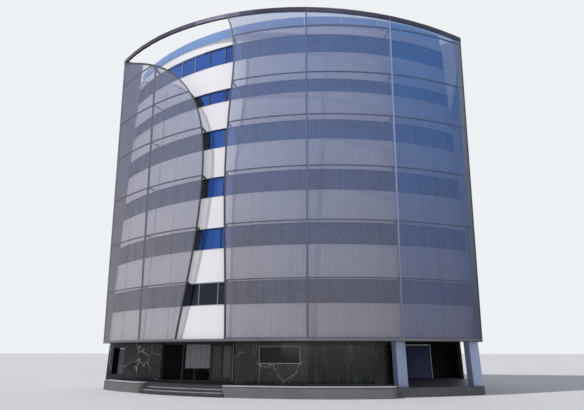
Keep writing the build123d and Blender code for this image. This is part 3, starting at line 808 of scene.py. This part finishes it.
def front_window_bars():
    """Mullions, sill and head bars of every row, and transoms only behind the screens."""
    bars = Shape()
    edge = HALF_ANGLE - 0.08
    left_of_gap = GAP_EDGE[0][0] - 1
    whole_front = facet_angles(-HALF_ANGLE, HALF_ANGLE)
    even = [MULLION_FIRST + MULLION_STEP * i for i in range(MULLION_COUNT)]
    for (sill, head), shift in zip(ROWS, LEFT_SHIFTS):
        stops = [-edge, *(angle + shift if angle < left_of_gap else angle for angle in even), edge]
        for angle in stops:
            post_at(bars, BAR_BACK, angle, MULLION, 0.07, sill, head)
        for z0, z1 in ((sill, sill + 0.045), (head - 0.045, head)):
            round_bar(bars, BAR_BACK, GLASS_R + 0.04, whole_front, z0, z1)
        z = sill + (head - sill) * TRANSOM_SHARE
        for a0, a1 in zip(stops[:-1], stops[1:]):
            if all(covered(angle, z) for angle in (a0, (a0 + a1) / 2, a1, a1 + TRANSOM_CLEAR)):
                round_bar(bars, BAR_BACK, GLASS_R + 0.035, facet_angles(a0, a1), z - 0.02, z + 0.02)
    make("front_window_bars", bars, "bars")


def row_bars(start, end, count):
    """Start, end, foot and top of each bar of the window rows in a straight wall."""
    for sill, head in ROWS:
        for i in range(count + 1):
            middle = start + (end - start) * i / count
            low = min(max(middle - MULLION / 2, start), end - MULLION)
            yield low, low + MULLION, sill, head
        yield start, end, sill, sill + 0.05
        yield start, end, head - 0.05, head


def flat_window_bars():
    """Bars of the windows in both side walls and in the rear wall."""
    side, rear = Shape(), Shape()
    inner, outer = -GLASS_INSET - 0.01, -GLASS_INSET + 0.05
    for sign in (-1, 1):
        x0, x1 = sorted((sign * (HALF_X + inner), sign * (HALF_X + outer)))
        for y0, y1, z0, z1 in row_bars(WALL_END_Y + CORNER_PIER, REAR - CORNER_PIER, 8):
            side.box(x0, x1, y0, y1, z0, z1)
    for x0, x1, z0, z1 in row_bars(WALL - HALF_X, HALF_X - WALL, 18):
        rear.box(x0, x1, REAR + inner, REAR + outer, z0, z1)
    make("side_window_bars", side, "far_bars")
    make("rear_window_bars", rear, "far_bars")


def sills_and_copings():
    """White sills and coping of the round front, and a metal coping on the other walls."""
    front, cap = Shape(), Shape()
    whole_front = facet_angles(0.05 - HALF_ANGLE, HALF_ANGLE - 0.05)
    for sill in SILLS:
        round_bar(front, GLASS_R, WALL_R + 0.012, whole_front, sill - 0.012, sill + 0.008)
    inner = WALL_R - WALL - 0.01
    round_bar(front, inner, WALL_R + 0.014, whole_front, PARAPET - 0.03, PARAPET + 0.012)
    width, z0, z1 = WALL + 0.02, PARAPET - 0.02, PARAPET + 0.02
    for side in (-1, 1):
        x0, x1 = sorted((side * (HALF_X - width), side * HALF_X))
        cap.box(x0, x1, WALL_END_Y + 0.15, REAR - width, z0, z1)
    cap.box(-HALF_X, HALF_X, REAR - width, REAR, z0, z1)
    make("front_sills_and_coping", front, "sill")
    make("side_and_rear_coping", cap, "metal")


def guard_clamps():
    """Two clamps at the foot of each pane of the guard."""
    clamps = Shape()
    for number in range(round(2 * HALF_ANGLE / GUARD_BAY)):
        for share in (0.2, 0.8):
            angle = (number + share) * GUARD_BAY - HALF_ANGLE
            post_at(clamps, WALL_R - 0.2, angle, 0.06, 0.08, PARAPET, PARAPET + 0.12)
    make("guard_clamps", clamps, "metal", bevel=0.006)


# folds of the screen's sheets

def fold_stretches(angle, z0, z1, keep, steps=48):
    """Stretches of a row of sheets where a fold lies on its part of the screen."""
    def inside(z):
        x, y, _ = on_screen(angle, z)
        return keep(x, z) and z < top_z(x, y)

    heights = (z0 + (z1 - z0) * i / steps for i in range(steps + 1))
    runs = [list(run) for shown, run in groupby(heights, inside) if shown]
    return [(run[0], run[-1]) for run in runs if run[-1] - run[0] > 0.05]


def folds(name, a0, a1, keep):
    """Fine upright folds over a part of the screen, clear of its posts."""
    shape = Shape()
    step = FACET / FOLDS_A_FACET
    first = ceil((a0 + HALF_ANGLE) / step)
    last = floor((a1 + HALF_ANGLE) / step)
    for number in range(first, last + 1):
        angle = number * step - HALF_ANGLE
        if any(abs(angle - post) < POST_HALF + 0.06 for post in SAIL_POSTS + RIGHT_POSTS):
            continue
        out, side = (Vector((*d, 0)) for d in directions(angle))
        back, peak, half = out * (-0.4 * FOLD_DEPTH), out * FOLD_DEPTH, side * FOLD_HALF
        section = (back - half, back + half, peak)
        for z0, z1 in SHEET_ROWS:
            for stretch in fold_stretches(angle, z0, z1, keep):
                shape.solid(*([Vector(on_screen(angle, z)) + corner for corner in section]
                              for z in stretch))
    make(name, shape, "fold")


def foot_channel():
    """Dark channel that holds the feet of the right sheets, its dark tone also painted shade of the shadow
    gap there.
    """
    channel = Shape()
    angles = facet_angles(GAP_EDGE[0][0] + 0.3, RIGHT_POSTS[-1])
    for p, q in zip(angles[:-1], angles[1:]):
        section = (p, 0.012), (q, 0.012), (q, -0.004), (p, -0.004)
        channel.solid(*([on_screen(angle, z, out) for angle, out in section]
                        for z in (SOFFIT + 0.002, SOFFIT + 0.05)))
    make("screen_foot_channel", channel, "rail_dark")


# steps and planters

def steps_dressing():
    """Pale risers under dark tread edges that stand a little proud."""
    risers, edges = Shape(), Shape()
    facet, depth, height, proud, lift = 0.6, 0.06, 0.08, 0.018, 0.004
    angles = even_angles(STEPS_FROM, STEPS_TO, facet)
    for number, radius in enumerate((BASE_R + TREAD, BASE_R), 2):
        top = STEP * number
        round_bar(risers, radius - 0.004, radius + 0.005, angles,
                  top - STEP + 0.006, top - height - 0.002)
        round_bar(edges, radius - depth, radius + proud, angles, top - height, top + lift)
    outer = BASE_R + 2 * TREAD
    lowest = even_angles(STEPS_FROM, STEPS_TO + STEP_END_REACH, facet)
    round_bar(edges, outer - depth, outer + proud, lowest, 0.012, STEP + lift)
    make("step_risers", risers, "riser")
    make("step_edges", edges, "step_edge")


def planter_outline(a0, a1, inset):
    """Plan of a planter with rounded outer corners, moved inward by an inset."""
    r_in, r_out = BASE_R + max(inset, 0.0), BASE_R + 2 * TREAD - inset
    b0, b1 = a0 + degrees(inset / r_out), a1 - degrees(inset / r_out)
    corner = max(PLANTER_ROUND - inset, 0.03)
    cut, count = degrees(corner / r_out), max(8, int((a1 - a0) / 0.8))
    quarter = [radians(90 * i / 8) for i in range(9)]
    inner = [polar(r_in, b0 + (b1 - b0) * i / count) for i in range(count + 1)]
    right = [polar(r_out - corner * (1 - sin(t)), b1 - cut * (1 - cos(t))) for t in quarter]
    outer = [polar(r_out, b1 - cut - (b1 - b0 - 2 * cut) * i / count) for i in range(1, count)]
    left = [polar(r_out - corner * (1 - cos(t)), b0 + cut * (1 - sin(t))) for t in quarter]
    return inner + right + outer + left


def planter_coping(name, a0, a1):
    """Coping that stands proud of the planter's walls, over a dark strip that is the coping's painted
    shadow.
    """
    low, high, foot = PLANTER_RIM - 0.022, PLANTER_RIM + 0.006, PLANTER_RIM - SOIL_DROP
    body, proud, outer, inner = (planter_outline(a0, a1, inset)
                                 for inset in (-0.001, -0.006, -0.03, PLANTER_WALL + 0.012))
    cap = (body, low), (outer, low), (outer, high), (inner, high), (inner, foot)
    # painted shadow: the dark strip under the coping's edge stands for the shadow of its overhang
    joint = (body, low - 0.03), (proud, low - 0.03), (proud, low + 0.004), (body, low + 0.004)
    for part, look, section in (("coping", "coping", cap), ("joint", "step_edge", joint)):
        shape = Shape()
        rings = [[(x, y, z) for x, y in ring] for ring, z in section]
        shape.band(rings + rings[:1])
        make(f"planter_{part}_{name}", shape, look)


def planter_soil(name, a0, a1):
    """Bed of soil with an uneven top, closed at its sides and underneath."""
    across, level, wall = 6, PLANTER_RIM - SOIL_DROP, PLANTER_WALL + 0.006
    corner = PLANTER_ROUND - wall
    angles = even_angles(a0 + degrees(wall / BASE_R), a1 - degrees(wall / BASE_R), 0.2)
    rings = []
    for number, angle in enumerate(angles):
        end = radians(min(angle - a0, a1 - angle)) * BASE_R - wall
        short = corner - sqrt(max(corner ** 2 - max(corner - end, 0) ** 2, 0))
        r_in, r_out = BASE_R + wall, BASE_R + 2 * TREAD - wall - short
        top = []
        for j in range(across + 1):
            x, y = polar(r_in + (r_out - r_in) * j / across, angle)
            heap = 0.0 if j in (0, across) or number in (0, len(angles) - 1) else 1.0
            top.append((x, y, level + 0.004 + heap * (0.012 + 0.028 * random.random())))
        rings.append(top + [(x, y, level - 0.02) for x, y, _ in reversed(top)])
    soil = Shape()
    soil.solid(*rings)
    make(f"planter_soil_{name}", soil, "soil", smooth=True)


# entrance

def blind_slats():
    """Wide upright slats that hang behind the entrance glass."""
    (x0, y0, z0), (x1, y1, z1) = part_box("entrance_blind")
    middle, count = (y0 + y1) / 2, 5
    width, thick = (x1 - x0) / count, 0.003
    slats = Shape()
    for number in range(count):
        centre = x0 + (number + 0.5) * width
        lean = radians(2.5 + random.uniform(-1.5, 1.5))
        dx, dy = width * 0.47 * cos(lean), width * 0.47 * sin(lean)
        slats.upright([(centre + p * dx, middle + p * dy + q * thick) for p, q in SQUARE],
                      z0 + 0.01, z1 - 0.03)
    slats.box(x0, x1, middle - 0.02, middle + 0.02, z1 - 0.04, z1)
    blind = make("blind_slats", slats, "blind")
    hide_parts("entrance_blind")


def entrance_bars():
    """Sill bars and a low post of the entrance glass."""
    low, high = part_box("entrance_glass")
    bars, sill = Shape(), FLOOR_TOP + 0.08
    for x0, x1, top in ((low[0], DOORWAY[0], sill), (DOORWAY[1], high[0] - 0.03, sill),
                        (-5.44, -5.38, 1.2)):
        bars.box(x0, x1, ENTRANCE_Y - 0.035, ENTRANCE_Y + 0.035, FLOOR_TOP, top)
    make("entrance_bars", bars, "dark")


def door_dressing(name, glass, handle_side):
    """Glass fields and a pull bar on each face of a door leaf."""
    (x0, y0, z0), (x1, y1, z1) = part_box(f"entrance_door_{name}")
    stile, kick, recess, gap, thick = 0.09, 0.22, 0.015, 0.004, 0.007
    fields, pull = Shape(), Shape()
    for y in (y0 + recess - 0.006, y1 - recess - 0.001):
        fields.box(x0 + stile + gap, x1 - stile - gap, y, y + thick, z0 + kick + gap, z1 - stile - gap)
    x = x1 - stile / 2 if handle_side > 0 else x0 + stile / 2
    for y in (y0 - 0.04, y1 + 0.04):
        pull.rod((x, y, 1.0), (x, y, 1.75), 0.014)
        for z in (1.08, 1.67):
            pull.rod((x, y, z), (x, (y0 + y1) / 2, z), 0.009)
    make(f"door_field_{name}", fields, glass, f"{name}_door")
    make(f"door_handle_{name}", pull, "metal", f"{name}_door", smooth=True)


def jamb_strip():
    """Bright strip on the jamb to the right of the entrance doors."""
    x1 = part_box("entrance_door_right")[1][0]
    strip = Shape()
    strip.box(x1 + 0.016, x1 + 0.042, ENTRANCE_Y - 0.046, ENTRANCE_Y - 0.036, FLOOR_TOP + 0.02, 2.6)
    make("jamb_strip", strip, "metal")


# ground floor windows and panels

def slot_window_frame():
    (x0, y0, z0), (x1, _, z1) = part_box("slot_window")
    bars, width = Shape(), 0.035
    y0, y1 = LEFT_WALL_Y + 0.005, y0 + 0.01
    for low in (x0, x1 - width):
        bars.box(low, low + width, y0, y1, z0, z1)
    for low in (z0, z1 - width):
        bars.box(x0, x1, y0, y1, low, low + width)
    make("slot_window_frame", bars, "dark")


def grey_wall_panel():
    """Bare grey panel beside the slot window, with a pale strip over it."""
    x0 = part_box("slot_window")[1][0] + 0.01
    for name, look, width, proud, z0, z1 in (("grey_wall_panel", "stone", 0.39, 0.018, 0.86, 2.31),
                                             ("pale_wall_strip", "metal", 0.35, 0.022, 2.335, 2.42)):
        panel = Shape()
        panel.box(x0, x0 + width, LEFT_WALL_Y - proud, LEFT_WALL_Y, z0, z1)
        make(name, panel, look, bevel=0.004)


def middle_window_frame():
    bars = Shape()
    r0, r1 = GROUND_R - 0.12, GROUND_R + 0.012
    for angle in (MIDDLE_WINDOW[0] + 0.04, MIDDLE_WINDOW[1] - 0.04):
        post_at(bars, r0, angle, 0.018, r1 - r0, MIDDLE_SILL, MIDDLE_HEAD)
    for z0, z1 in ((MIDDLE_SILL, MIDDLE_SILL + 0.022), (MIDDLE_HEAD - 0.016, MIDDLE_HEAD)):
        round_bar(bars, r0, r1, even_angles(*MIDDLE_WINDOW, 0.5), z0, z1)
    make("middle_window_frame", bars, "metal")


def ground_glazing_bars():
    bars, count = Shape(), 9
    back = GROUND_R - 0.05
    for number in range(1, count):
        angle = GLAZING[0] + (GLAZING[1] - GLAZING[0]) * number / count
        post_at(bars, back, angle, 0.025, 0.03, FLOOR_TOP, ENTRANCE_HEAD)
    for z0, z1 in ((FLOOR_TOP, FLOOR_TOP + 0.1), (ENTRANCE_HEAD - 0.05, ENTRANCE_HEAD)):
        round_bar(bars, back, back + 0.04, even_angles(*GLAZING, 0.7), z0, z1)
    make("ground_glazing_bars", bars, "dark")


# car port

def garage_dressing():
    """Leaves and pale head strip of the garage door, and the pale face of the pier beside it."""
    (x0, y0, z0), (x1, _, z1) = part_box("garage_door")
    leaves, strip, face = Shape(), Shape(), Shape()
    count, joint, side, back = 8, 0.016, 0.02, y0 + 0.005
    height = (z1 - 0.12 - z0) / count
    for number in range(count):
        low = z0 + 0.01 + number * height
        leaves.box(x0 + side, x1 - side, y0 - 0.02, back, low, low + height - joint)
    strip.box(x0 + side, x1 - side, y0 - 0.03, back, z1 - 0.1, z1 - 0.01)
    face.box(x1 + 0.015, x1 + 0.055, y0 - 0.125, y0 - 0.095, FLOOR_TOP, z1 - 0.005)
    make("garage_door_leaves", leaves, "navy", bevel=0.006)
    make("garage_head_strip", strip, "bright", bevel=0.004)
    make("garage_post_face", face, "bright", bevel=0.004)


def column_plates():
    """Thin collars at the foot and head of both columns."""
    x1, y1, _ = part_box("columns")[1]
    c, s = cos(radians(COLUMN_TURN)), sin(radians(COLUMN_TURN))
    reach = COLUMN / 2 * (c + s)
    plates = Shape()
    for cx, cy in (polar(GROUND_R + COLUMN, GLAZING[1]), (x1 - reach, y1 - reach)):
        for proud, z0, z1 in ((0.008, FLOOR_TOP, FLOOR_TOP + 0.06), (0.004, SOFFIT - 0.04, SOFFIT)):
            half = COLUMN / 2 + proud
            plan = [(cx + half * (c * p - s * q), cy + half * (s * p + c * q)) for p, q in SQUARE]
            plates.upright(plan, z0, z1)
    make("column_plates", plates, "column")


front_window_bars()
flat_window_bars()
sills_and_copings()
guard_clamps()
folds("sail_folds", SAIL_POSTS[0] + POST_HALF + 0.05, -8.0, in_sail)
folds("screen_folds", -9.0, RIGHT_POSTS[-1] - POST_HALF - 0.05, right_of_gap)
foot_channel()
steps_dressing()
for side_name, reach in PLANTERS.items():
    planter_coping(side_name, *reach)
    planter_soil(side_name, *reach)
blind_slats()
entrance_bars()
door_dressing("left", "dark_glass", 1)
door_dressing("right", "door_glass", -1)
jamb_strip()
slot_window_frame()
grey_wall_panel()
middle_window_frame()
ground_glazing_bars()
garage_dressing()
column_plates()


# camera, floor and light

def camera():
    """The photo's camera, as fitted to its lines: sizes in millimetres, angles in degrees."""
    sensor, lens, rise, turn = 36.0, 27.258, 18.304, 11.83
    data = bpy.data.cameras.new("camera")
    data.sensor_width, data.lens, data.clip_end = sensor, lens, 500
    holder = bpy.data.objects.new("camera", data)
    holder.location = (6.529, -30.686, 2.219)
    holder.rotation_euler = (radians(90 + rise), 0, radians(turn))
    scene.collection.objects.link(holder)
    scene.camera = holder


def pale_floor():
    reach = 400
    mesh = bpy.data.meshes.new("floor")
    mesh.from_pydata([(p * reach, q * reach, 0) for p, q in SQUARE], [], [(0, 1, 2, 3)])
    ground = bpy.data.objects.new("floor", mesh)
    scene.collection.objects.link(ground)
    pale = finished(new_material("floor_pale")[0], Base_Color=(0.62, 0.62, 0.63), Roughness=0.9)
    mesh.materials.append(pale)


def studio_world():
    """Even pale light, with a paler background for what the camera sees directly."""
    world = bpy.data.worlds.new("studio")
    scene.world = world
    world.use_nodes = True
    tree = world.node_tree
    rays = add_node(tree, "ShaderNodeLightPath").outputs
    shown = rays["Is Camera Ray"]
    for name in ("Is Glossy Ray", "Is Transmission Ray"):
        shown = maths(tree, "MAXIMUM", shown, rays[name])
    background = tree.nodes["Background"].inputs
    plug(tree, mix(tree, shown, (0.33, 0.35, 0.4), (0.86, 0.88, 0.91)), background["Color"])
    plug(tree, 1.0, background["Strength"])


def lamp(name, energy, softness, azimuth, elevation):
    """Distant lamp, its azimuth from straight ahead and positive to the right."""
    data = bpy.data.lights.new(name, "SUN")
    data.energy, data.angle = energy, softness
    a, e = radians(azimuth), radians(elevation)
    holder = bpy.data.objects.new(name, data)
    towards = Vector((sin(a) * cos(e), -cos(a) * cos(e), sin(e)))
    holder.rotation_euler = towards.to_track_quat("Z", "Y").to_euler()
    scene.collection.objects.link(holder)


camera()
pale_floor()
studio_world()
lamp("key", energy=2.4, softness=0.04, azimuth=-50, elevation=49)
lamp("fill", energy=0.8, softness=0.9, azimuth=14, elevation=14)
scene.view_settings.view_transform = "Standard"
